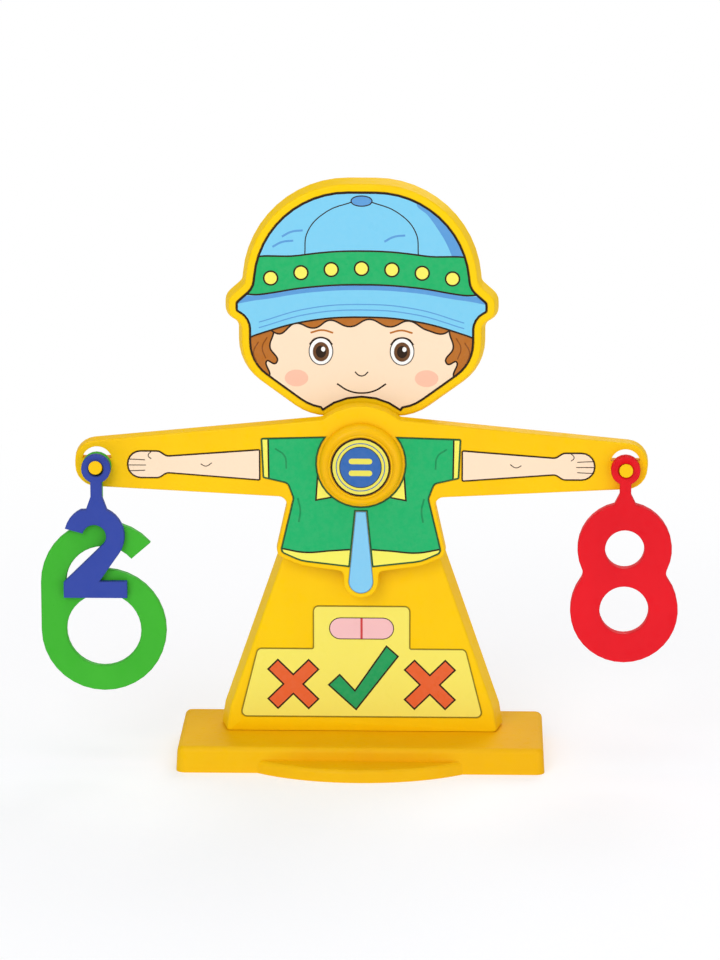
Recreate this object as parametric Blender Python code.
# Number balance: a child-shaped stand on a hollow plinth carries a see-saw beam, and flat
# plastic digits hang on the beam's two hooks. Their weights are in proportion to their values.
# Metres, +Z up, the front faces -Y, and the origin is at the middle of the plinth's underside.

import math

import bmesh
import bpy

# Clearances
SEAT_GAP = 0.0003
RUNNING_GAP = 0.0004

# Plinth, with an oval foot that shows as a crescent at the front and the back
BASE_WIDTH = 0.197
BASE_DEPTH = 0.078
BASE_HEIGHT = 0.0141
BASE_CORNER = 0.005
BASE_EDGE = 0.0030
BASE_DRAFT = 0.0006
FOOT_WIDTH = 0.152
FOOT_DEPTH = 0.1124
FOOT_HEIGHT = 0.007
FOOT_EDGE = 0.0024
BASE_WALL = 0.0022
BASE_RIB = 0.0016
BASE_COLUMNS = 6
BASE_ROWS = 3
SLOT_CORNER = 0.0003

# Stand: a drafted, hollow-backed trapezoid that runs up to the neck and the head plate
STAND_WIDTH = 0.1524
SKIRT_HEIGHT = 0.012
SKIRT_SHARE = 0.975
NECK_SHARE = 0.343
STAND_DEPTH = 0.016
STAND_REAR = 0.010
STAND_SLANT = 0.0030
STAND_EDGE = 0.0015
STAND_CORNER = 0.0025
FOOT_CORNER = 0.001
STAND_WALL = 0.0024
STAND_RIB = 0.0016
STAND_ROWS = 5
TONGUE_REACH = 0.050
TONGUE_WIDTH = 0.020
TONGUE_THICKNESS = 0.004
TONGUE_DROP = 0.0085
TONGUE_CORNER = 0.001
TONGUE_NOSE = 0.0012
NOSE_CHAMFER = 0.0005
NOSE_SETBACK = 0.002

# Head plate, one moulding with the stand
HEAD_HEIGHT = 0.1285
BRIM_WIDTH = 0.145
FACE_WIDTH = 0.131
HAT_WIDTH = 0.117
CHIN_WIDTH = 0.056
CHIN_ABOVE_PIVOT = 0.021
CHEEK_ABOVE_CHIN = 0.0275
BRIM_ABOVE_CHIN = 0.051
BRIM_THICKNESS = 0.019
BRIM_TAPER = 0.004
BRIM_CORNER = 0.0075
BRIM_FILLET = 0.004
HAT_FLARE = 0.005
CHIN_CORNER = 0.030
CHEEK_CORNER = 0.028
CROWN_SHARE = 0.96
HEAD_DEPTH = 0.010
HEAD_PROUD = 0.001
HEAD_SLANT = 0.0020
HEAD_EDGE = 0.0012
HEAD_ROWS = 4

# Pivot
PIVOT_HEIGHT = 0.1655
SHAFT_RADIUS = 0.0045
BOSS_RADIUS = 0.009
BOSS_FLOOR = 0.0020
CAP_RADIUS = 0.0220
CAP_RING_RADIUS = 0.0172
CAP_RING_WIDTH = 0.0009
CAP_HEIGHT = 0.0085
CAP_RIM_HEIGHT = 0.0016
CAP_NECK_HEIGHT = 0.0022
CAP_CHAMFER = 0.0004
BADGE_RADIUS = 0.0158
SCREW_RADIUS = 0.00145
SCREW_HEAD_RADIUS = 0.0034
SCREW_HEAD_HEIGHT = 0.0022
SCREW_LENGTH = 0.011
SCREW_CROSS_WIDTH = 0.0008
SHAFT_DEPTH = 0.0083
SHAFT_CHAMFER = 0.0005

# Tilt stop: a post on the stand in an arched slot in the beam's back
TILT_LIMIT = math.radians(13.9)
STOP_RADIUS = 0.0025
STOP_REACH = 0.024
STOP_DEPTH = 0.0035

# Beam: two arms, the hub's hump, the torso and the pointer's tongue
BEAM_STANDOFF = 0.006
BEAM_DEPTH = 0.008
BEAM_SKIN = 0.0024
BEAM_WALL = 0.0020
BEAM_RIB = 0.0014
BEAM_DRAFT = 0.0005
BEAM_EDGE = 0.0010
HOOK_REACH = 0.140
HOOK_DROP = 0.001
ARM_END_RADIUS = 0.0122
SHOULDER_RISE = 0.0228
ARMPIT_DROP = 0.0190
ARMPIT_WIDTH = 0.078
HUMP_RADIUS = 0.0315
HUMP_ANGLE = math.radians(35)
HEM_WIDTH = 0.092
HEM_DROP = 0.0535
HEM_BOW = 0.006
HEM_CORNER = 0.005
HEM_TURN = 0.014
SLIT_FILLET = 0.0025
BEAM_FILLET = 0.004
POINTER_BACK_WIDTH = 0.0195
POINTER_BACK_DROP = 0.0740
END_SHARE = 0.96
HUB_RADIUS = 0.010
ARM_CELLS = 4

# Hooks: a peg with a raised head, under a D-shaped mould window
PEG_RADIUS = 0.0029
PEG_LENGTH = 0.013
PEG_HEAD_RADIUS = 0.0036
PEG_HEAD_LENGTH = 0.0017
PEG_CHAMFER = 0.0004
WINDOW_RADIUS = 0.008
WINDOW_RISE = 0.0016

# Labels, each in a shallow recess
LABEL_THICKNESS = 0.0005
LABEL_RECESS = 0.0008
HEAD_LABEL_BORDER = 0.0028
HUMP_CLEARANCE = 0.0015
SLEEVE_REACH = 0.0530
SLEEVE_TOP = 0.0145
SLEEVE_DROP = 0.0080
COLLAR_RADIUS = 0.0235
SHIRT_BORDER = 0.0030
SHIRT_CORNER = 0.0030
HEM_CURVE = 0.020
CUFF_CORNER = 0.0010
POINTER_TOP_WIDTH = 0.0054
POINTER_TIP_WIDTH = 0.0130
POINTER_TOP_DROP = 0.0262
POINTER_TIP_DROP = 0.0709
ARM_ROOT_HEIGHT = 0.0170
WRIST_HEIGHT = 0.0095
HAND_HEIGHT = 0.0150
HAND_LENGTH = 0.0210
HAND_SETBACK = 0.0160
PALM_TAPER = 0.0040
DIAL_BOTTOM = 0.0220
DIAL_STEP = 0.0603
DIAL_TOP = 0.0840
DIAL_BASE_WIDTH = 0.1314
DIAL_SHOULDER_WIDTH = 0.1122
DIAL_BLOCK_WIDTH = 0.0522
DIAL_CORNER = 0.003
DIAL_FILLET = 0.0008

# Digits: every unit of value is the same volume of plastic
UNIT_VOLUME = 2.70e-6
DIGIT_EDGE = 0.0006
RING_RADIUS = 0.0078
RING_HOLE_RADIUS = 0.0039
STEM_WIDTH = 0.0060
STEM_FLARE = 0.0026
DIGIT_SIDE_GAP = 0.0004
EIGHT_DROP = 0.0427
EIGHT_UPPER_RADIUS = 0.0250
EIGHT_UPPER_HOLE = 0.0104
EIGHT_LOWER_RADIUS = 0.0286
EIGHT_LOWER_HOLE = 0.0130
EIGHT_PITCH = 0.0333
EIGHT_WAIST_FILLET = 0.006
SIX_DROP = 0.0890
SIX_RADIUS = 0.0334
SIX_HOLE = 0.0199
SIX_ARCH_RISE = 0.0260
SIX_TERMINAL = math.radians(41)
TWO_DROP = 0.0367
TWO_RADIUS = 0.0161
TWO_STROKE = 0.0098
TWO_BAR = 0.0090
TWO_HEEL = 0.0084
TWO_BOTTOM_DROP = 0.0703
TWO_BAR_LEFT = 0.0166
TWO_BAR_RIGHT = 0.0171
TWO_START = math.radians(165)
TWO_TURN = math.radians(-35)

# Fineness of the round stretches
CIRCLE_SIDES = 36
HOLE_SIDES = 24
CORNER_STEP = math.radians(18)
ROUND_ERROR = 0.00012

# Places worked out from the sizes above; "front" distances run towards the viewer
STAND_FRONT = STAND_DEPTH - STAND_REAR
BEAM_REAR = STAND_FRONT + BEAM_STANDOFF
BEAM_FRONT = BEAM_REAR + BEAM_DEPTH
HEAD_FRONT = STAND_FRONT + HEAD_PROUD
CHIN_HEIGHT = PIVOT_HEIGHT + CHIN_ABOVE_PIVOT
HEAD_TOP = CHIN_HEIGHT + HEAD_HEIGHT
STAND_FOOT = BASE_HEIGHT + SEAT_GAP
STAND_TOP = CHIN_HEIGHT + STAND_WALL * 2
STAND_PROFILE = (
    (STAND_FOOT, STAND_WIDTH),
    (STAND_FOOT + SKIRT_HEIGHT, STAND_WIDTH * SKIRT_SHARE),
    (PIVOT_HEIGHT, STAND_WIDTH * NECK_SHARE),
)
HOOK_HEIGHT = PIVOT_HEIGHT - HOOK_DROP
DIGIT_REAR = BEAM_FRONT + SEAT_GAP

YELLOW = (0.93, 0.60, 0.015)
LIGHT_BLUE = (0.21, 0.60, 0.88)
PALE_YELLOW = (0.92, 0.85, 0.14)
SHIRT_GREEN = (0.012, 0.44, 0.15)
SKIN = (0.97, 0.73, 0.55)
DIGIT_GREEN = (0.06, 0.47, 0.04)
DIGIT_BLUE = (0.045, 0.08, 0.36)
DIGIT_RED = (0.80, 0.015, 0.025)
STEEL = (0.55, 0.56, 0.58)


def arc(centre, radius, start, end, sides=None):
    """Points from the start angle to the end angle, both included."""
    if sides is None:
        sides = max(2, round(abs(end - start) / (2 * math.pi) * CIRCLE_SIDES))
    turns = [start + (end - start) * i / sides for i in range(sides + 1)]
    return [(centre[0] + radius * math.cos(a), centre[1] + radius * math.sin(a)) for a in turns]


def circle(radius, centre=(0.0, 0.0), sides=CIRCLE_SIDES):
    return arc(centre, radius, 0.0, 2 * math.pi, sides)[:-1]


def rounded(corners):
    """A closed outline from (x, y, radius) corners. A radius of 0 leaves the corner sharp."""
    outline = []
    for i, (x, y, radius) in enumerate(corners):
        before = corners[i - 1]
        after = corners[(i + 1) % len(corners)]
        first = math.atan2(y - before[1], x - before[0])
        second = math.atan2(after[1] - y, after[0] - x)
        turn = (second - first + math.pi) % (2 * math.pi) - math.pi
        if radius == 0 or abs(turn) < 1e-4:
            outline.append((x, y))
            continue
        reach = radius * math.tan(abs(turn) / 2)
        side = math.copysign(1, turn)
        start = (x - reach * math.cos(first), y - reach * math.sin(first))
        normal = first + side * math.pi / 2
        centre = (start[0] + radius * math.cos(normal), start[1] + radius * math.sin(normal))
        step = min(CORNER_STEP, 2 * math.acos(1 - ROUND_ERROR / max(radius, ROUND_ERROR)))
        steps = max(2, math.ceil(abs(turn) / step))
        outline += arc(centre, radius, normal - math.pi, normal - math.pi + turn, steps)
    return outline


def mirrored(half):
    """The whole outline from its right half, which runs from the bottom to the top."""
    return half + [(-corner[0], *corner[1:]) for corner in reversed(half)]


def area_and_middle(outline):
    """Signed area and centre of area, by the shoelace sums."""
    area = 0.0
    middle_x = 0.0
    middle_y = 0.0
    for (x0, y0), (x1, y1) in zip(outline, outline[1:] + outline[:1]):
        cross = x0 * y1 - x1 * y0
        area += cross / 2
        middle_x += (x0 + x1) * cross / 6
        middle_y += (y0 + y1) * cross / 6
    return area, (middle_x / area, middle_y / area)


def grown(outline, distance):
    """The outline moved outwards by the distance, or inwards where it is negative."""
    side = math.copysign(1, area_and_middle(outline)[0])
    points = []
    for i, (x, y) in enumerate(outline):
        before = outline[i - 1]
        after = outline[(i + 1) % len(outline)]
        first = math.atan2(y - before[1], x - before[0])
        second = math.atan2(after[1] - y, after[0] - x)
        turn = (second - first + math.pi) % (2 * math.pi) - math.pi
        outwards = first + turn / 2 - side * math.pi / 2
        reach = distance / math.cos(turn / 2)
        points.append((x + reach * math.cos(outwards), y + reach * math.sin(outwards)))
    return points


def clipped(outline, axis, limit, keep_above):
    """The part of the outline on one side of a line across the given axis."""
    side = 1 if keep_above else -1
    kept = []
    for here, after in zip(outline, outline[1:] + outline[:1]):
        a = side * (here[axis] - limit)
        b = side * (after[axis] - limit)
        if a >= 0:
            kept.append(here)
        if (a >= 0) != (b >= 0):
            share = a / (a - b)
            kept.append(tuple(here[k] + share * (after[k] - here[k]) for k in range(2)))
    return [point for i, point in enumerate(kept) if math.dist(point, kept[i - 1]) > 1e-6]


def cell(outline, left, right, bottom, top):
    outline = clipped(outline, 0, left, True)
    outline = clipped(outline, 0, right, False)
    outline = clipped(outline, 1, bottom, True)
    return clipped(outline, 1, top, False)


def even_cells(low, high, count, rib):
    """Equal cells between two limits, parted by ribs."""
    pitch = (high - low + rib) / count
    return [(low + i * pitch, low + (i + 1) * pitch - rib) for i in range(count)]


def add_stacks(mesh, stacks):
    """A closed solid from an outer stack of (height, ring) pairs and the stacks of its holes."""
    ends = ([], [])
    for stack in stacks:
        rows = [[mesh.verts.new((x, y, height)) for x, y in ring] for height, ring in stack]
        for lower, upper in zip(rows, rows[1:]):
            for i in range(len(lower)):
                j = (i + 1) % len(lower)
                mesh.faces.new((lower[i], lower[j], upper[j], upper[i]))
        for end, row in zip(ends, (rows[0], rows[-1])):
            end += [mesh.edges.get((row[i - 1], row[i])) for i in range(len(row))]
    for edges in ends:
        bmesh.ops.triangle_fill(mesh, use_beauty=True, edges=edges)


def add_plate(mesh, loops, levels):
    """A closed solid from an outline and its holes: each (height, inset) level is one ring."""
    stacks = []
    for number, loop in enumerate(loops):
        side = 1 if number else -1
        stacks.append([(height, grown(loop, side * inset)) for height, inset in levels])
    add_stacks(mesh, stacks)


def add_turned(mesh, profile, sides=CIRCLE_SIDES):
    """A solid of revolution about local Z from (radius, height) points."""
    line = [mesh.verts.new((radius, 0, height)) for radius, height in profile]
    edges = [mesh.edges.new(pair) for pair in zip(line, line[1:])]
    if profile[0][0] > 0:
        edges.append(mesh.edges.new((line[-1], line[0])))
    bmesh.ops.spin(
        mesh, geom=line + edges, axis=(0, 0, 1), cent=(0, 0, 0), angle=2 * math.pi, steps=sides,
        use_merge=True,
    )
    bmesh.ops.remove_doubles(mesh, verts=mesh.verts, dist=1e-6)


def quarter_turns(steps):
    return [math.pi / 2 * i / steps for i in range(steps + 1)]


def rounded_edge(front, inset, radius, steps=3):
    """Levels of a rounded front edge, from the straight side to the flat front."""
    return [
        (front - radius + radius * math.sin(turn), inset + radius * (1 - math.cos(turn)))
        for turn in quarter_turns(steps)
    ]


def material(name, colour, roughness=0.3, metallic=0.0):
    made = bpy.data.materials.new(name)
    made.use_nodes = True
    shader = made.node_tree.nodes["Principled BSDF"]
    shader.inputs["Base Color"].default_value = (*colour, 1.0)
    shader.inputs["Roughness"].default_value = roughness
    shader.inputs["Metallic"].default_value = metallic
    return made


def add_object(name, mesh):
    bmesh.ops.recalc_face_normals(mesh, faces=mesh.faces)
    data = bpy.data.meshes.new(name)
    mesh.to_mesh(data)
    mesh.free()
    data.shade_smooth()
    data.set_sharp_from_angle(angle=math.radians(35))
    made = bpy.data.objects.new(name, data)
    bpy.context.collection.objects.link(made)
    return made


def upright(made, front=0.0, height=0.0, across=0.0):
    """Stands a piece that was drawn flat, so that its local Z points at the viewer."""
    made.rotation_euler = (math.pi / 2, 0, 0)
    made.location = (across, -front, height)


def helper(name, mesh, target, operation):
    """A hidden shape in the target's own space, added to it or cut from it."""
    made = add_object(name, mesh)
    made.parent = target
    made.hide_render = True
    made.display_type = "WIRE"
    modifier = target.modifiers.new(name, "BOOLEAN")
    modifier.operation = operation
    modifier.object = made


def cut(target, name, outlines, low, high):
    """Cuts each outline's straight-sided shape away between two heights."""
    mesh = bmesh.new()
    for outline in outlines:
        add_stacks(mesh, [[(low, outline), (high, outline)]])
    helper(name, mesh, target, "DIFFERENCE")


def fuse(target, name, outline, levels):
    mesh = bmesh.new()
    add_plate(mesh, [outline], levels)
    helper(name, mesh, target, "UNION")


def plate_object(name, loops, levels, finish):
    mesh = bmesh.new()
    add_plate(mesh, loops, levels)
    made = add_object(name, mesh)
    made.data.materials.append(finish)
    return made


# Plinth


def base_outline():
    half_width = BASE_WIDTH / 2
    half_depth = BASE_DEPTH / 2
    return rounded(
        [
            (half_width, -half_depth, BASE_CORNER),
            (half_width, half_depth, BASE_CORNER),
            (-half_width, half_depth, BASE_CORNER),
            (-half_width, -half_depth, BASE_CORNER),
        ]
    )


def plinth_cells():
    """The grid of hollows under the plinth."""
    inner = grown(base_outline(), -BASE_WALL)
    half_width = BASE_WIDTH / 2 - BASE_WALL
    half_depth = BASE_DEPTH / 2 - BASE_WALL
    columns = even_cells(-half_width, half_width, BASE_COLUMNS, BASE_RIB)
    rows = even_cells(-half_depth, half_depth, BASE_ROWS, BASE_RIB)
    return [cell(inner, *column, *row) for column in columns for row in rows]


def foot_outline():
    rim = circle(1.0, sides=2 * CIRCLE_SIDES)
    return [(x * FOOT_WIDTH / 2, y * FOOT_DEPTH / 2) for x, y in rim]


def crescent_cells():
    """Two hollows under each crescent of the foot."""
    inner = grown(foot_outline(), -BASE_WALL)
    edge = BASE_DEPTH / 2
    columns = ((-FOOT_WIDTH, -BASE_RIB / 2), (BASE_RIB / 2, FOOT_WIDTH))
    rows = ((edge, FOOT_DEPTH), (-FOOT_DEPTH, -edge))
    return [cell(inner, *column, *row) for column in columns for row in rows]


def tongue_slot(side):
    """The opening in the plinth's top for one of the stand's two tongues."""
    half_width = TONGUE_WIDTH / 2 + SEAT_GAP
    half_depth = TONGUE_THICKNESS / 2 + SEAT_GAP
    middle = side * TONGUE_REACH
    return rounded(
        [
            (middle + half_width, -half_depth, SLOT_CORNER),
            (middle + half_width, half_depth, SLOT_CORNER),
            (middle - half_width, half_depth, SLOT_CORNER),
            (middle - half_width, -half_depth, SLOT_CORNER),
        ]
    )


def make_base():
    levels = [(0, 0)] + rounded_edge(BASE_HEIGHT, BASE_DRAFT, BASE_EDGE)
    base = plate_object("base_plinth", [base_outline()], levels, material("base yellow", YELLOW))
    foot_levels = [(0, 0)] + rounded_edge(FOOT_HEIGHT, 0, FOOT_EDGE)
    fuse(base, "foot_oval", foot_outline(), foot_levels)
    ceiling = BASE_HEIGHT - BASE_WALL
    cut(base, "plinth_cells", plinth_cells(), -SEAT_GAP, ceiling)
    cut(base, "crescent_cells", crescent_cells(), -SEAT_GAP, FOOT_HEIGHT - BASE_WALL)
    slots = [tongue_slot(side) for side in (-1, 1)]
    cut(base, "tongue_slots", slots, ceiling - BASE_WALL, BASE_HEIGHT + BASE_WALL)


# Stand and head plate


def stand_half_width(height):
    """Half the stand's outline width: the sides lean in above a short skirt."""
    for (low, low_width), (high, high_width) in zip(STAND_PROFILE, STAND_PROFILE[1:]):
        if height <= high:
            break
    share = (height - low) / (high - low)
    return (low_width + share * (high_width - low_width)) / 2


def stand_outline(inset):
    """The sides lean inwards towards the front, while the foot stays flat on the plinth."""
    foot, skirt = [(width / 2 - inset, height) for height, width in STAND_PROFILE[:2]]
    return rounded(
        mirrored(
            [
                (*foot, FOOT_CORNER),
                (*skirt, STAND_CORNER),
                (stand_half_width(STAND_TOP) - inset, STAND_TOP, 0),
            ]
        )
    )


def head_outline():
    """Chin, cheeks, a hat brim that stands out at the sides, and a round crown."""
    brim_low = CHIN_HEIGHT + BRIM_ABOVE_CHIN
    brim_high = brim_low + BRIM_THICKNESS
    crown = (HEAD_TOP - brim_high) * CROWN_SHARE
    return rounded(
        mirrored(
            [
                (CHIN_WIDTH / 2, CHIN_HEIGHT, CHIN_CORNER),
                (FACE_WIDTH / 2, CHIN_HEIGHT + CHEEK_ABOVE_CHIN, CHEEK_CORNER),
                (FACE_WIDTH / 2, brim_low, BRIM_FILLET),
                (BRIM_WIDTH / 2, brim_low + BRIM_TAPER, BRIM_CORNER),
                (BRIM_WIDTH / 2, brim_high - BRIM_TAPER, BRIM_CORNER),
                (HAT_WIDTH / 2 + HAT_FLARE, brim_high + BRIM_TAPER, BRIM_FILLET),
                (HAT_WIDTH / 2, HEAD_TOP, crown),
            ]
        )
    )


def cut_stand_cells(stand):
    """The hollow back: two columns of drafted cells that follow the slanted sides."""
    mesh = bmesh.new()
    rear = -STAND_REAR - SEAT_GAP
    floor = STAND_FRONT - STAND_WALL
    low = STAND_FOOT + STAND_WALL
    high = CHIN_HEIGHT - STAND_WALL
    for bottom, top in even_cells(low, high, STAND_ROWS, STAND_RIB):
        for side in (-1, 1):
            stack = []
            for height, inset in ((rear, STAND_WALL), (floor, STAND_WALL + STAND_SLANT)):
                corners = [
                    (side * STAND_RIB / 2, bottom),
                    (side * (stand_half_width(bottom) - inset), bottom),
                    (side * (stand_half_width(top) - inset), top),
                    (side * STAND_RIB / 2, top),
                ]
                stack.append((height, corners))
            add_stacks(mesh, [stack])
    helper("stand_cells", mesh, stand, "DIFFERENCE")


def head_cells():
    wall = STAND_WALL + HEAD_SLANT
    inner = grown(head_outline(), -wall)
    rows = even_cells(STAND_TOP + STAND_RIB, HEAD_TOP - wall, HEAD_ROWS, STAND_RIB)
    columns = ((-BRIM_WIDTH, -STAND_RIB / 2), (STAND_RIB / 2, BRIM_WIDTH))
    return [cell(inner, *column, *row) for column in columns for row in rows]


def add_tongues(stand):
    """Two tongues through the plinth's top, each with a nose that catches under it."""
    for side in (-1, 1):
        middle = side * TONGUE_REACH
        half = TONGUE_WIDTH / 2
        tip = STAND_FOOT - TONGUE_DROP
        root = STAND_FOOT + STAND_WALL / 2
        outline = rounded(
            [
                (middle + half, tip, TONGUE_CORNER),
                (middle + half, root, 0),
                (middle - half, root, 0),
                (middle - half, tip, TONGUE_CORNER),
            ]
        )
        thickness = TONGUE_THICKNESS / 2
        fuse(stand, "tongue", outline, [(-thickness, 0), (thickness, 0)])
        catch = BASE_HEIGHT - BASE_WALL - SEAT_GAP
        start = tip + NOSE_CHAMFER
        side_face = half - NOSE_SETBACK
        nose = [
            (middle + side_face, start),
            (middle + side_face, catch),
            (middle - side_face, catch),
            (middle - side_face, start),
        ]
        reach = thickness + TONGUE_NOSE
        levels = [(thickness / 2, 0), (reach - NOSE_CHAMFER, 0), (reach, NOSE_CHAMFER)]
        fuse(stand, "tongue_nose", nose, levels)


def dial_outline():
    """The stepped plaque for the pointer's scale."""
    return rounded(
        mirrored(
            [
                (DIAL_BASE_WIDTH / 2, DIAL_BOTTOM, DIAL_CORNER),
                (DIAL_SHOULDER_WIDTH / 2, DIAL_STEP, DIAL_CORNER),
                (DIAL_BLOCK_WIDTH / 2, DIAL_STEP, DIAL_FILLET),
                (DIAL_BLOCK_WIDTH / 2, DIAL_TOP, DIAL_CORNER),
            ]
        )
    )


def head_label_outline():
    """The head's outline, set in from the edge and kept clear of the hub's hump."""
    inner = grown(head_outline(), -HEAD_SLANT - HEAD_EDGE - HEAD_LABEL_BORDER)
    keep = HUMP_RADIUS + HUMP_CLEARANCE
    outside = [point for point in inner if math.hypot(point[0], point[1] - PIVOT_HEIGHT) > keep]
    right = math.atan2(outside[0][1] - PIVOT_HEIGHT, outside[0][0])
    left = math.atan2(outside[-1][1] - PIVOT_HEIGHT, outside[-1][0])
    return outside + arc((0, PIVOT_HEIGHT), keep, left, right, HOLE_SIDES // 4)


def make_stand():
    slanted = [(-STAND_REAR, 0)] + rounded_edge(STAND_FRONT, STAND_SLANT, STAND_EDGE)
    mesh = bmesh.new()
    add_stacks(mesh, [[(height, stand_outline(inset)) for height, inset in slanted]])
    stand = add_object("stand_figure", mesh)
    stand.data.materials.append(material("stand yellow", YELLOW))
    upright(stand)
    head_rear = HEAD_FRONT - HEAD_DEPTH
    head_levels = [(head_rear, 0)] + rounded_edge(HEAD_FRONT, HEAD_SLANT, HEAD_EDGE)
    fuse(stand, "head_plate", head_outline(), head_levels)
    cut_stand_cells(stand)
    cut(stand, "head_cells", head_cells(), head_rear - SEAT_GAP, HEAD_FRONT - STAND_WALL)

    pivot = (0.0, PIVOT_HEIGHT)
    boss_rear = STAND_FRONT - SHAFT_DEPTH - BOSS_FLOOR - SCREW_HEAD_HEIGHT - SEAT_GAP
    boss_front = BEAM_REAR - SEAT_GAP
    fuse(stand, "pivot_boss", circle(BOSS_RADIUS, pivot), [(boss_rear, 0), (boss_front, 0)])
    stop = circle(STOP_RADIUS, (0.0, PIVOT_HEIGHT - STOP_REACH), HOLE_SIDES // 2)
    stop_end = BEAM_REAR + STOP_DEPTH
    stop_levels = [(0, 0), (stop_end - RUNNING_GAP, 0), (stop_end, RUNNING_GAP)]
    fuse(stand, "tilt_stop", stop, stop_levels)
    add_tongues(stand)

    seat = STAND_FRONT - SHAFT_DEPTH - SEAT_GAP
    floor = seat - BOSS_FLOOR
    bore = circle(SHAFT_RADIUS + SEAT_GAP, pivot, HOLE_SIDES)
    cut(stand, "shaft_bore", [bore], seat, BEAM_REAR)
    screw_way = circle(SCREW_RADIUS + SEAT_GAP, pivot, HOLE_SIDES // 2)
    cut(stand, "screw_way", [screw_way], floor - BOSS_FLOOR, seat + BOSS_FLOOR)
    screw_seat = circle(SCREW_HEAD_RADIUS + RUNNING_GAP, pivot, HOLE_SIDES // 2)
    cut(stand, "screw_seat", [screw_seat], -STAND_REAR - BOSS_FLOOR, floor)
    for name, outline, front in (
        ("dial_recess", dial_outline(), STAND_FRONT),
        ("head_recess", head_label_outline(), HEAD_FRONT),
    ):
        cut(stand, name, [grown(outline, SEAT_GAP)], front - LABEL_RECESS, front + LABEL_RECESS)


# Pivot cap and its screw


def make_cap():
    """A flanged cap with a raised ring round its badge, and a shaft through the beam."""
    back = BEAM_FRONT + SEAT_GAP
    face = back + CAP_HEIGHT
    inner = CAP_RING_RADIUS - CAP_RING_WIDTH
    shaft_end = STAND_FRONT - SHAFT_DEPTH
    pilot = SCREW_RADIUS + SEAT_GAP
    pilot_end = shaft_end + SCREW_LENGTH
    shaft = [
        (0, pilot_end),
        (pilot, pilot_end),
        (pilot, shaft_end),
        (SHAFT_RADIUS - SHAFT_CHAMFER, shaft_end),
        (SHAFT_RADIUS, shaft_end + SHAFT_CHAMFER),
        (SHAFT_RADIUS, back),
        (CAP_RADIUS - CAP_CHAMFER, back),
        (CAP_RADIUS, back + CAP_CHAMFER),
    ]
    rise = CAP_HEIGHT - CAP_RIM_HEIGHT - CAP_NECK_HEIGHT
    dome = [
        (
            CAP_RING_RADIUS + (CAP_RADIUS - CAP_RING_RADIUS) * math.cos(turn),
            back + CAP_RIM_HEIGHT + rise * math.sin(turn),
        )
        for turn in quarter_turns(4)
    ]
    ring = [
        (CAP_RING_RADIUS, face - CAP_CHAMFER),
        (CAP_RING_RADIUS - CAP_RING_WIDTH / 3, face),
        (inner, face),
        (inner, face - LABEL_RECESS),
        (0, face - LABEL_RECESS),
    ]
    profile = shaft + dome + ring
    mesh = bmesh.new()
    add_turned(mesh, profile)
    cap = add_object("pivot_cap", mesh)
    cap.data.materials.append(material("cap yellow", YELLOW))
    upright(cap, height=PIVOT_HEIGHT)

    levels = [(face - LABEL_THICKNESS, 0), (face, 0)]
    badge = plate_object("badge_label", [circle(BADGE_RADIUS)], levels, material("badge", PALE_YELLOW))
    upright(badge, height=PIVOT_HEIGHT)


def make_screw():
    """A round-headed self-tapping screw, driven from behind into the cap's shaft."""
    seat = STAND_FRONT - SHAFT_DEPTH - SEAT_GAP - BOSS_FLOOR - SEAT_GAP
    tip = STAND_FRONT - SHAFT_DEPTH + SCREW_LENGTH - SEAT_GAP
    head = [
        (SCREW_HEAD_RADIUS * math.sin(turn), seat - SCREW_HEAD_HEIGHT * math.cos(turn))
        for turn in quarter_turns(4)
    ]
    thread = [(SCREW_RADIUS, seat), (SCREW_RADIUS, tip - SCREW_RADIUS), (0, tip)]
    profile = head + thread
    mesh = bmesh.new()
    add_turned(mesh, profile, HOLE_SIDES // 2)
    screw = add_object("pivot_screw", mesh)
    screw.data.materials.append(material("screw steel", STEEL, 0.35, 1.0))
    upright(screw, height=PIVOT_HEIGHT)
    wing = SCREW_HEAD_RADIUS / 2
    half = SCREW_CROSS_WIDTH / 2
    right = [(half, -wing), (half, -half), (wing, -half), (wing, half), (half, half), (half, wing)]
    cross = mirrored(right)
    rear = seat - SCREW_HEAD_HEIGHT
    cut(screw, "screw_cross", [cross], rear - half, rear + SCREW_HEAD_HEIGHT / 2)


# Beam


def beam_outline():
    """Right half from the tongue's end up to the hump, then its mirror image."""
    arm_end = HOOK_REACH + ARM_END_RADIUS
    fall = SHOULDER_RISE + HOOK_DROP - ARM_END_RADIUS
    slope = fall / (HOOK_REACH - HUMP_RADIUS)
    hump_peak = HUMP_RADIUS / math.cos(HUMP_ANGLE)
    steepness = math.tan(HUMP_ANGLE) - slope
    neck_x = (hump_peak - SHOULDER_RISE - slope * HUMP_RADIUS) / steepness
    neck_y = hump_peak - neck_x * math.tan(HUMP_ANGLE)
    half_tongue = POINTER_BACK_WIDTH / 2
    hem_low = HEM_DROP + HEM_BOW
    right = [
        (half_tongue, -POINTER_BACK_DROP, half_tongue * END_SHARE),
        (half_tongue, -hem_low, SLIT_FILLET),
        (HEM_WIDTH / 2 - HEM_TURN, -HEM_DROP - HEM_BOW / 2, HUMP_RADIUS),
        (HEM_WIDTH / 2, -HEM_DROP + HEM_BOW / 2, HEM_CORNER),
        (ARMPIT_WIDTH / 2, -ARMPIT_DROP, BEAM_FILLET),
        (arm_end, -HOOK_DROP - ARM_END_RADIUS, ARM_END_RADIUS * END_SHARE),
        (arm_end, -HOOK_DROP + ARM_END_RADIUS, ARM_END_RADIUS * END_SHARE),
        (neck_x, neck_y, BEAM_FILLET),
    ]
    left = [(-x, y, radius) for x, y, radius in reversed(right)]
    return rounded(right + [(0.0, hump_peak, HUMP_RADIUS)] + left)


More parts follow.
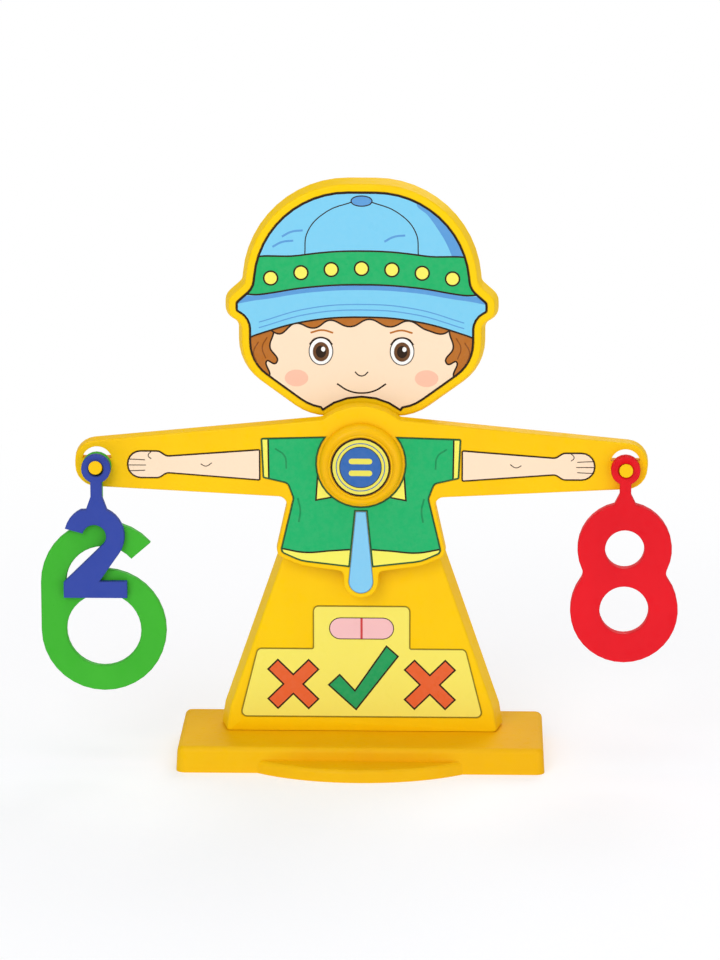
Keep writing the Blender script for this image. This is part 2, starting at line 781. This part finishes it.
def stop_slot():
    """The arched slot for the stand's tilt stop, wide enough for the tilt each way."""
    half = TILT_LIMIT + math.asin(STOP_RADIUS / STOP_REACH) + SEAT_GAP / STOP_REACH
    outer = STOP_REACH + STOP_RADIUS + RUNNING_GAP
    inner = STOP_REACH - STOP_RADIUS - RUNNING_GAP
    low = -math.pi / 2 - half
    high = -math.pi / 2 + half
    sides = HOLE_SIDES // 4
    return arc((0, 0), outer, low, high, sides) + arc((0, 0), inner, high, low, sides)


def beam_cells():
    """Cells between the ribs of the arms, the hump and the torso, open to the back."""
    inner = grown(beam_outline(), -BEAM_WALL)
    arm_start = ARMPIT_WIDTH / 2 - BEAM_WALL
    arm_stop = HOOK_REACH - WINDOW_RADIUS - BEAM_WALL * 2
    arm_low = -ARMPIT_DROP + BEAM_WALL
    shoulder = HUB_RADIUS + BEAM_RIB
    columns = even_cells(arm_start, arm_stop, ARM_CELLS, BEAM_RIB)
    columns.append((shoulder, arm_start - BEAM_RIB))
    areas = [(-HUB_RADIUS, HUB_RADIUS, shoulder, HUMP_RADIUS)]
    for left, right in columns:
        areas.append((left, right, arm_low, HUMP_RADIUS))
        areas.append((-right, -left, arm_low, HUMP_RADIUS))
    slot_low = STOP_REACH + STOP_RADIUS + RUNNING_GAP + BEAM_WALL
    for bottom, top in even_cells(-HEM_DROP - HEM_BOW, -slot_low, 2, BEAM_RIB):
        areas.append((BEAM_RIB / 2, HEM_WIDTH, bottom, top))
        areas.append((-HEM_WIDTH, -BEAM_RIB / 2, bottom, top))
    return [cell(inner, *area) for area in areas]


def window_outline(side):
    """The D-shaped opening that shows as a crescent above a hanging ring."""
    centre = (side * HOOK_REACH, -HOOK_DROP + WINDOW_RISE)
    chord = PEG_RADIUS + SEAT_GAP - WINDOW_RISE
    start = math.asin(chord / WINDOW_RADIUS)
    return arc(centre, WINDOW_RADIUS, start, math.pi - start, CIRCLE_SIDES // 2)


def add_hook(beam, side):
    """A round peg whose head is raised, so that a ring can't slide off by itself."""
    mesh = bmesh.new()
    end = BEAM_FRONT + PEG_LENGTH
    neck = end - PEG_HEAD_LENGTH
    raise_by = PEG_HEAD_RADIUS - PEG_RADIUS
    sections = [
        (BEAM_FRONT - BEAM_SKIN / 2, PEG_RADIUS, 0),
        (neck, PEG_RADIUS, 0),
        (neck + PEG_CHAMFER, PEG_HEAD_RADIUS, raise_by),
        (end - PEG_CHAMFER, PEG_HEAD_RADIUS, raise_by),
        (end, PEG_HEAD_RADIUS - PEG_CHAMFER, raise_by),
    ]
    rows = []
    for height, radius, shift in sections:
        ring = circle(radius, (side * HOOK_REACH, -HOOK_DROP + shift), HOLE_SIDES)
        rows.append([mesh.verts.new((x, y, height)) for x, y in ring])
    for lower, upper in zip(rows, rows[1:]):
        for i in range(HOLE_SIDES):
            j = (i + 1) % HOLE_SIDES
            mesh.faces.new((lower[i], lower[j], upper[j], upper[i]))
    mesh.faces.new(rows[0])
    mesh.faces.new(rows[-1])
    helper("hook", mesh, beam, "UNION")


def pointer_half_width(drop):
    """The pointer widens evenly from its top to its round tip."""
    tip = POINTER_TIP_DROP - POINTER_TIP_WIDTH / 2
    share = (drop - POINTER_TOP_DROP) / (tip - POINTER_TOP_DROP)
    return (POINTER_TOP_WIDTH + share * (POINTER_TIP_WIDTH - POINTER_TOP_WIDTH)) / 2


def pointer_outline():
    tip_radius = POINTER_TIP_WIDTH / 2
    tip = (0.0, -POINTER_TIP_DROP + tip_radius)
    top = POINTER_TOP_WIDTH / 2
    ends = [(top, -POINTER_TOP_DROP), (-top, -POINTER_TOP_DROP)]
    return arc(tip, tip_radius, math.pi, 2 * math.pi) + ends


def shirt_outline():
    """Two sleeves, a round neckline above, and a slot below for the pointer."""
    slot_top = POINTER_TOP_DROP - SEAT_GAP
    hem = HEM_DROP + HEM_BOW - SHIRT_BORDER
    waist = ARMPIT_WIDTH / 2 - SHIRT_BORDER
    neck_angle = math.asin(SLEEVE_TOP / COLLAR_RADIUS)
    half = rounded(
        [
            (0, -slot_top, 0),
            (pointer_half_width(slot_top) + SEAT_GAP, -slot_top, 0),
            (pointer_half_width(hem) + SEAT_GAP, -hem, 0),
            (HEM_WIDTH / 2 - HEM_TURN, -hem + SHIRT_BORDER, HEM_CURVE),
            (HEM_WIDTH / 2 - SHIRT_BORDER, -HEM_DROP + HEM_CORNER, SHIRT_CORNER),
            (waist, -ARMPIT_DROP, SHIRT_CORNER),
            (waist + SHIRT_BORDER, -SLEEVE_DROP - SHIRT_BORDER, SHIRT_CORNER),
            (SLEEVE_REACH - CUFF_CORNER, -SLEEVE_DROP, CUFF_CORNER),
            (SLEEVE_REACH, SLEEVE_TOP - CUFF_CORNER, CUFF_CORNER),
            (COLLAR_RADIUS * math.cos(neck_angle), SLEEVE_TOP, 0),
            (0, SLEEVE_TOP, 0),
        ]
    )
    half = half[1:-1]
    neckline = arc((0, 0), COLLAR_RADIUS, neck_angle, -math.pi - neck_angle)[1:-1]
    return half + neckline + [(-x, y) for x, y in reversed(half)]


def arm_outline(side):
    """A bare forearm from the cuff to the wrist, with a simple round hand short of the hook."""
    hand = HAND_HEIGHT / 2
    hand_end = HOOK_REACH - HAND_SETBACK
    wrist = hand_end - HAND_LENGTH
    half = [
        (SLEEVE_REACH + RUNNING_GAP, ARM_ROOT_HEIGHT / 2, CUFF_CORNER),
        (wrist, WRIST_HEIGHT / 2, PALM_TAPER),
        (wrist + PALM_TAPER, hand, PALM_TAPER),
        (hand_end, hand, hand * END_SHARE),
    ]
    corners = [(x, -y, radius) for x, y, radius in half] + list(reversed(half))
    outline = [(x, y - HOOK_DROP) for x, y in rounded(corners)]
    return outline if side > 0 else [(-x, y) for x, y in reversed(outline)]


def make_beam():
    levels = [(BEAM_REAR, 0)] + rounded_edge(BEAM_FRONT, BEAM_DRAFT, BEAM_EDGE)
    finish = material("beam yellow", YELLOW)
    beam = plate_object("beam", [beam_outline()], levels, finish)
    upright(beam, height=PIVOT_HEIGHT)
    behind = BEAM_REAR - SEAT_GAP
    ahead = BEAM_FRONT + SEAT_GAP
    cut(beam, "beam_cells", beam_cells(), behind, BEAM_FRONT - BEAM_SKIN)
    bore = circle(SHAFT_RADIUS + RUNNING_GAP, sides=HOLE_SIDES)
    cut(beam, "hub_bore", [bore], behind, ahead)
    cut(beam, "stop_slot", [stop_slot()], behind, BEAM_REAR + STOP_DEPTH + RUNNING_GAP)
    windows = [window_outline(side) for side in (-1, 1)]
    cut(beam, "mould_windows", windows, behind, ahead)
    labels = {
        "shirt_label": (shirt_outline(), SHIRT_GREEN),
        "pointer_label": (pointer_outline(), LIGHT_BLUE),
        "arm_label_right": (arm_outline(1), SKIN),
        "arm_label_left": (arm_outline(-1), SKIN),
    }
    for name, (outline, colour) in labels.items():
        recess = grown(outline, SEAT_GAP)
        cut(beam, name + "_recess", [recess], BEAM_FRONT - LABEL_RECESS, ahead)
        add_label(name, outline, BEAM_FRONT, colour, PIVOT_HEIGHT)
    for side in (-1, 1):
        add_hook(beam, side)


def add_label(name, outline, front, colour, height=0.0):
    levels = [(front - LABEL_THICKNESS, 0), (front, 0)]
    label = plate_object(name, [outline], levels, material(name, colour, 0.25))
    upright(label, height=height)


# Digits, drawn about their hanging ring, which is the local origin


def hanger(lobe_centre, lobe_radius):
    """Ring and flared stem, as the points from the lobe's right side round to its left."""
    flare = STEM_WIDTH / 2 + STEM_FLARE
    foot = lobe_centre[1] + math.sqrt(lobe_radius**2 - (flare + abs(lobe_centre[0])) ** 2)
    join = math.asin(STEM_WIDTH / 2 / RING_RADIUS)
    neck = (foot - RING_RADIUS) / 2
    ring = arc((0, 0), RING_RADIUS, -math.pi / 2 + join, 3 * math.pi / 2 - join, CIRCLE_SIDES // 2)
    right = [(flare, foot), (STEM_WIDTH / 2, neck)]
    return right + ring + [(-x, y) for x, y in reversed(right)]


def waist_fillet(low, low_radius, high, high_radius):
    """The inward curve between two stacked lobes, on the right side, upwards."""
    pitch = high[1] - low[1]
    a = low_radius + EIGHT_WAIST_FILLET
    b = high_radius + EIGHT_WAIST_FILLET
    along = (a**2 - b**2 + pitch**2) / (2 * pitch)
    centre = (low[0] + math.sqrt(a**2 - along**2), low[1] + along)
    start = math.atan2(low[1] - centre[1], low[0] - centre[0])
    end = math.atan2(high[1] - centre[1], high[0] - centre[0])
    return arc(centre, EIGHT_WAIST_FILLET, start, end - 2 * math.pi)


def eight_loops(shift):
    high = (shift, -EIGHT_DROP)
    low = (shift, -EIGHT_DROP - EIGHT_PITCH)
    top = hanger(high, EIGHT_UPPER_RADIUS)
    fillet = waist_fillet(low, EIGHT_LOWER_RADIUS, high, EIGHT_UPPER_RADIUS)
    leave = math.atan2(fillet[0][1] - low[1], fillet[0][0] - low[0])
    join = math.atan2(fillet[-1][1] - high[1], fillet[-1][0] - high[0])
    stem = math.atan2(top[0][1] - high[1], top[0][0] - high[0])
    left_stem = math.atan2(top[-1][1] - high[1], top[-1][0] - high[0])
    right = arc(low, EIGHT_LOWER_RADIUS, -math.pi / 2, leave)[:-1] + fillet
    left = [(2 * shift - x, y) for x, y in reversed(right[1:])]
    outline = right[:-1] + arc(high, EIGHT_UPPER_RADIUS, join, stem)[:-1] + top
    outline += arc(high, EIGHT_UPPER_RADIUS, left_stem, math.pi - join)[1:-1] + left
    return [outline, circle(EIGHT_UPPER_HOLE, high), circle(EIGHT_LOWER_HOLE, low)]


def six_loops(shift):
    bowl = (shift, -SIX_DROP)
    arch = (shift, -SIX_DROP + SIX_ARCH_RISE)
    top = hanger(arch, SIX_RADIUS)
    rise = (SIX_RADIUS**2 - SIX_HOLE**2 - SIX_ARCH_RISE**2) / (2 * SIX_ARCH_RISE)
    notch = (shift - math.sqrt(SIX_HOLE**2 - rise**2), arch[1] + rise)
    bowl_end = math.atan2(notch[1] - bowl[1], notch[0] - bowl[0])
    arch_start = math.atan2(notch[1] - arch[1], notch[0] - arch[0]) % (2 * math.pi)
    stem = math.atan2(top[0][1] - arch[1], top[0][0] - arch[0])
    left_stem = math.atan2(top[-1][1] - arch[1], top[-1][0] - arch[0])
    outline = arc(bowl, SIX_RADIUS, -math.pi / 2, bowl_end)
    outline += arc(arch, SIX_HOLE, arch_start, SIX_TERMINAL)[1:]
    outline += arc(arch, SIX_RADIUS, SIX_TERMINAL, stem)[:-1]
    outline += top
    outline += arc(arch, SIX_RADIUS, left_stem, math.pi)[1:]
    outline += arc(bowl, SIX_RADIUS, math.pi, 3 * math.pi / 2)[:-1]
    return [outline, circle(SIX_HOLE, bowl)]


def two_loops(shift):
    centre = (shift, -TWO_DROP)
    inner = TWO_RADIUS - TWO_STROKE
    top = hanger(centre, TWO_RADIUS)
    stem = math.atan2(top[0][1] - centre[1], top[0][0] - centre[0])
    left_stem = math.atan2(top[-1][1] - centre[1], top[-1][0] - centre[0])
    outer = arc(centre, TWO_RADIUS, TWO_TURN, stem)
    slant = (math.sin(TWO_TURN), -math.cos(TWO_TURN))
    bar_top = -TWO_BOTTOM_DROP + TWO_BAR
    reach = (bar_top - outer[0][1]) / slant[1]
    elbow = (outer[0][0] + reach * slant[0], bar_top)
    left_edge = shift - TWO_BAR_LEFT
    heel = (left_edge, -TWO_BOTTOM_DROP + TWO_HEEL)
    away = math.dist(heel, centre)
    leave = math.atan2(heel[1] - centre[1], heel[0] - centre[0]) + math.acos(inner / away)
    turn = arc(centre, inner, TWO_START, leave)
    outline = [(left_edge, -TWO_BOTTOM_DROP), (shift + TWO_BAR_RIGHT, -TWO_BOTTOM_DROP)]
    outline += [(shift + TWO_BAR_RIGHT, bar_top), elbow] + outer[:-1] + top
    outline += arc(centre, TWO_RADIUS, left_stem, TWO_START)[1:] + turn + [heel]
    return [outline]


def middle_across(loops):
    """How far the middle of the digit's weight lies to one side of its ring."""
    moment = 0.0
    total = 0.0
    for sign, loop in zip([1] + [-1] * len(loops), loops + [circle(RING_HOLE_RADIUS)]):
        area, middle = area_and_middle(loop)
        moment += sign * abs(area) * middle[0]
        total += sign * abs(area)
    return moment / total


def hung_straight(draw):
    """Places the figure under its ring so that it hangs upright by its own weight."""
    low = 0.0
    high = 0.001
    for _ in range(12):
        at_low = middle_across(draw(low))
        at_high = middle_across(draw(high))
        if abs(at_high - at_low) < 1e-12:
            break
        low, high = high, high - at_high * (high - low) / (at_high - at_low)
    return draw(high)


def digit_thickness(loops, value):
    """The thickness at which this digit holds its value's share of plastic."""
    trial = UNIT_VOLUME * value / abs(area_and_middle(loops[0])[0])
    for _ in range(3):
        mesh = bmesh.new()
        add_plate(mesh, loops, digit_levels(trial))
        bmesh.ops.recalc_face_normals(mesh, faces=mesh.faces)
        volume = abs(mesh.calc_volume())
        mesh.free()
        areas = [abs(area_and_middle(loop)[0]) for loop in loops]
        face = 2 * areas[0] - sum(areas)
        trial += (UNIT_VOLUME * value - volume) / face
    return trial


def digit_levels(thickness):
    front = rounded_edge(thickness, 0, DIGIT_EDGE, 1)
    return [(thickness - height, inset) for height, inset in reversed(front)] + front


def make_digit(name, draw, value, side, rear, colour):
    """A flat digit whose ring rests on a hook's peg. Returns how far forward it reaches."""
    loops = hung_straight(draw) + [circle(RING_HOLE_RADIUS, sides=HOLE_SIDES)]
    thickness = digit_thickness(loops, value)
    digit = plate_object(name, loops, digit_levels(thickness), material(name, colour, 0.28))
    # The object's origin is the peg's axis, on which the ring turns; the ring hangs a little lower.
    hang = RING_HOLE_RADIUS - PEG_RADIUS - SEAT_GAP
    for vertex in digit.data.vertices:
        vertex.co.y -= hang
    upright(digit, front=rear, height=HOOK_HEIGHT, across=side * HOOK_REACH)
    return rear + thickness


for old in list(bpy.data.objects):
    bpy.data.objects.remove(old, do_unlink=True)

make_base()
make_stand()
make_beam()
make_cap()
make_screw()
add_label("dial_label", dial_outline(), STAND_FRONT, PALE_YELLOW)
add_label("head_label", head_label_outline(), HEAD_FRONT, LIGHT_BLUE)
six_front = make_digit("digit_six", six_loops, 6, -1, DIGIT_REAR, DIGIT_GREEN)
make_digit("digit_two", two_loops, 2, -1, six_front + DIGIT_SIDE_GAP, DIGIT_BLUE)
make_digit("digit_eight", eight_loops, 8, 1, DIGIT_REAR, DIGIT_RED)
